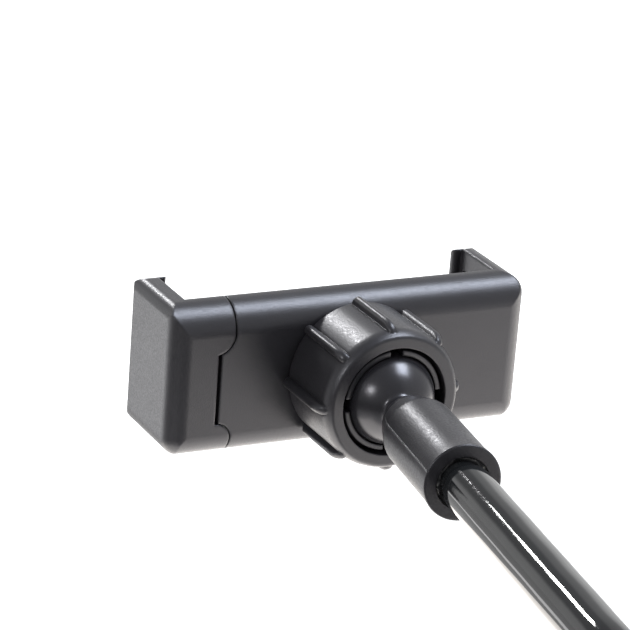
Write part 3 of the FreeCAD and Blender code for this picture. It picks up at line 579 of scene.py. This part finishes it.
def make_pad(node, body, thin, face):
    """A rubber pad in a node's box: rounded rectangles at growing insets, from the base to the face.

    thin is the axis that the pad is thin along, and face the side of it that shows. A fine step
    frames the field, which lies a little lower than the rim.
    """
    low, high = (np.array(corner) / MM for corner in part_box(node))
    middle, reach = (low + high) / 2, (high - low) / 2
    wide, tall = [i for i in range(3) if i != thin]
    thick, edge, corner, dip = 2 * reach[thin], 0.4, 1.5, 0.14
    curve = np.linspace(0, math.pi / 2, 7)
    inset = np.concatenate([[0.05, 0], edge * (1 - np.cos(curve)), [1.0, 1.06, 1.2, 1.3]])
    field = [thick, thick - 0.03, thick - dip, thick - dip]
    level = np.concatenate([[0, 0.05], thick - edge + edge * np.sin(curve), field])
    quarter = np.linspace(0, math.pi / 2, 9)
    angles = (quarter + np.arange(4)[:, None] * math.pi / 2).ravel()
    sides = np.repeat(np.array([[1, 1], [-1, 1], [-1, -1], [1, -1]]), len(quarter), axis=0)
    round_off = np.maximum(corner - inset, 0.25)[:, None]
    points = np.zeros((len(inset), len(angles), 3))
    for axis, column, bow in ((wide, 0, np.cos(angles)), (tall, 1, np.sin(angles))):
        straight = reach[axis] - inset[:, None] - round_off
        points[..., axis] = middle[axis] + sides[:, column] * straight + round_off * bow
    points[..., thin] = middle[thin] - face * reach[thin] + face * level[:, None]
    return make_piece(node + "_rubber", MM * points, PAD_RUBBER, body, [node])


make_lock_nut()
make_ball_stem()
make_glue()
make_arm_tube()
make_arm_core()
make_spring("spring_upper")
make_spring("spring_lower")
make_pad("front_pad", "clamp", thin=1, face=-1)
make_pad("fixed_jaw_pad", "clamp", thin=0, face=1)
make_pad("moving_jaw_pad", "jaw", thin=0, face=-1)


# Camera, floor and light

def make_camera():
    """The photograph's view, placed from the clamp, with its right and up directions."""
    right = Vector((-0.89637, 0.43718, 0.07341))
    up = Vector((-0.09103, -0.34359, 0.93470))
    back = right.cross(up)
    data = bpy.data.cameras.new("photo_view")
    data.lens, data.sensor_width, data.sensor_fit = 178.195, 36.0, "HORIZONTAL"
    data.clip_start, data.clip_end = 0.01, 100.0
    camera = bpy.data.objects.new("photo_view", data)
    turn = Matrix((right, up, back)).transposed().to_4x4()
    spot = Vector(CLAMP) + MM * Vector((246.464, 455.948, 201.883))
    camera.matrix_world = Matrix.Translation(spot) @ turn
    bpy.context.scene.collection.objects.link(camera)
    bpy.context.scene.camera = camera


def make_softbox(name, spot, width, height, glow, tint=(1, 1, 1), upward=False):
    """A rectangular lamp at a spot, facing the ball joint or straight up. A glow of 1 looks white."""
    data = bpy.data.lights.new(name, "AREA")
    data.shape, data.size, data.size_y = "RECTANGLE", width, height
    data.energy = glow * math.pi * width * height
    data.color = tint
    lamp = bpy.data.objects.new(name, data)
    lamp.location = spot
    lamp.rotation_mode = "QUATERNION"
    back = Vector((0, 0, -1)) if upward else lamp.location - Vector(BALL_CENTRE)
    lamp.rotation_quaternion = back.to_track_quat("Z", "Y")
    lamp.visible_camera = False
    bpy.context.scene.collection.objects.link(lamp)


def from_ball(toward, distance):
    """The spot at a distance from the ball joint in the direction toward."""
    return Vector(BALL_CENTRE) + distance * Vector(toward).normalized()


class Backdrop:
    """The nodes of a floor or room that show one thing to the camera and another in reflections."""

    def __init__(self, tree, coordinates):
        self.tree = tree
        path = tree.nodes.new("ShaderNodeLightPath")
        self.in_camera, self.in_reflection = path.outputs["Is Camera Ray"], path.outputs["Is Glossy Ray"]
        self.place = tree.nodes.new("ShaderNodeTexCoord").outputs[coordinates]
        parts = tree.nodes.new("ShaderNodeSeparateXYZ")
        tree.links.new(self.place, parts.inputs["Vector"])
        self.x, self.y, self.z = parts.outputs

    def combined(self, operation, *sources):
        """Two values added or multiplied."""
        node = self.tree.nodes.new("ShaderNodeMath")
        node.operation = operation
        for source, socket in zip(sources, node.inputs):
            self.tree.links.new(source, socket)
        return node.outputs["Value"]

    def spread(self, source, start, stop, low, high):
        """A value from start to stop laid out smoothly from low to high."""
        node = self.tree.nodes.new("ShaderNodeMapRange")
        node.interpolation_type = "SMOOTHSTEP"
        for socket, value in zip(RANGE_SOCKETS, (start, stop, low, high)):
            node.inputs[socket].default_value = value
        self.tree.links.new(source, node.inputs["Value"])
        return node.outputs["Result"]

    def distance(self):
        """The distance from the origin."""
        node = self.tree.nodes.new("ShaderNodeVectorMath")
        node.operation = "LENGTH"
        self.tree.links.new(self.place, node.inputs[0])
        return node.outputs["Value"]

    def either(self, factor, without, with_it):
        """One value where the factor is 0 and another where it is 1; both may be numbers."""
        node = self.tree.nodes.new("ShaderNodeMix")
        for source, socket in ((factor, "Factor"), (without, "A"), (with_it, "B")):
            if isinstance(source, (int, float)):
                node.inputs[socket].default_value = source
            else:
                self.tree.links.new(source, node.inputs[socket])
        return node.outputs["Result"]


def make_floor():
    """A pale floor that takes the object's shadow and runs out into white.

    In reflections alone it glows, as a painted reflection: white, with painted shade that dims it
    before the moving jaw and darkens it beyond.
    """
    reach = 8.0
    corners = [(-reach, -reach, 0), (reach, -reach, 0), (reach, reach, 0), (-reach, reach, 0)]
    mesh = bpy.data.meshes.new("floor")
    mesh.from_pydata(corners, [], [(0, 1, 2, 3)])
    material = bpy.data.materials.new("pale_floor")
    material.use_nodes = True
    shader = material.node_tree.nodes["Principled BSDF"]
    shader.inputs["Roughness"].default_value = 0.8
    shader.inputs["Specular IOR Level"].default_value = 0.0
    shader.inputs["Emission Color"].default_value = (1, 1, 1, 1)
    nodes = Backdrop(material.node_tree, "Object")
    white, dim, dark, pale = 1.0, 0.25, 0.12, 0.6
    far = nodes.spread(nodes.distance(), 0.2, 0.9, 0.05, 1.0)
    behind = nodes.spread(nodes.y, -0.34, -0.10, 0.4, 0.0)
    runs_out = nodes.combined("MULTIPLY", nodes.combined("ADD", far, behind), nodes.in_camera)
    # Painted reflection: a glow that only glossy rays see, white with painted shade near the clamp and
    # beyond the moving jaw.
    left = nodes.spread(nodes.x, -0.28, -0.08, 0.0, 1.0)
    near = nodes.spread(nodes.y, -0.04, 0.08, 0.0, 1.0)
    reflected_glow = nodes.either(nodes.combined("MULTIPLY", left, near), white, dim)
    end = nodes.spread(nodes.x, 0.20, 0.30, 0.0, 1.0)
    beside = nodes.spread(nodes.y, -0.34, -0.20, 0.0, 1.0)
    reflected_glow = nodes.either(nodes.combined("MULTIPLY", end, beside), reflected_glow, dark)
    glow = nodes.either(nodes.in_reflection, runs_out, reflected_glow)
    material.node_tree.links.new(glow, shader.inputs["Emission Strength"])
    colour = nodes.either(nodes.in_reflection, pale, 0.0)
    material.node_tree.links.new(colour, shader.inputs["Base Color"])
    mesh.materials.append(material)
    floor = bpy.data.objects.new("floor", mesh)
    bpy.context.scene.collection.objects.link(floor)


def make_room():
    """White to the camera; to the object a dim room, with a white wall's foot behind it."""
    world = bpy.data.worlds.new("studio_room")
    world.use_nodes = True
    bpy.context.scene.world = world
    shader = world.node_tree.nodes["Background"]
    nodes = Backdrop(world.node_tree, "Generated")
    walls, bright_wall, white_foot = 0.42, 0.75, 1.25
    aside = nodes.spread(nodes.x, -0.36, -0.22, 1.0, 0.0)
    upper = nodes.either(aside, walls, bright_wall)
    behind = nodes.either(nodes.spread(nodes.z, 0.22, 0.36, 0.0, 1.0), white_foot, upper)
    in_front = nodes.spread(nodes.y, -0.5, -0.2, 0.0, 1.0)
    room = nodes.either(in_front, behind, upper)
    glow = nodes.either(nodes.in_camera, room, 1.0)
    world.node_tree.links.new(glow, shader.inputs["Strength"])
    shader.inputs["Color"].default_value = (1, 1, 1, 1)


make_camera()
make_floor()
make_room()
COOL, WARM = (0.84, 0.90, 1.0), (1.0, 0.94, 0.87)
make_softbox("overhead_box", from_ball((-0.45, 0.08, 0.88), 0.8), 0.42, 0.28, 17.0, COOL)
make_softbox("jaw_side_box", from_ball((0.85, 0.30, 0.43), 0.8), 0.16, 0.16, 20.0)
make_softbox("nut_box", from_ball((0.065, -0.883, 0.572), 1.054), 0.11, 0.10, 115.0)
make_softbox("light_table", (-0.25, -0.175, 0.004), 0.74, 0.23, 2.4, WARM, upward=True)
make_softbox("table_front", (-0.34, 0.03, 0.004), 0.56, 0.18, 2.8, WARM, upward=True)
make_softbox("jaw_end_card", (0.20, -0.42, 0.004), 0.18, 0.22, 2.2, upward=True)
bpy.context.scene.view_settings.view_transform = "Standard"
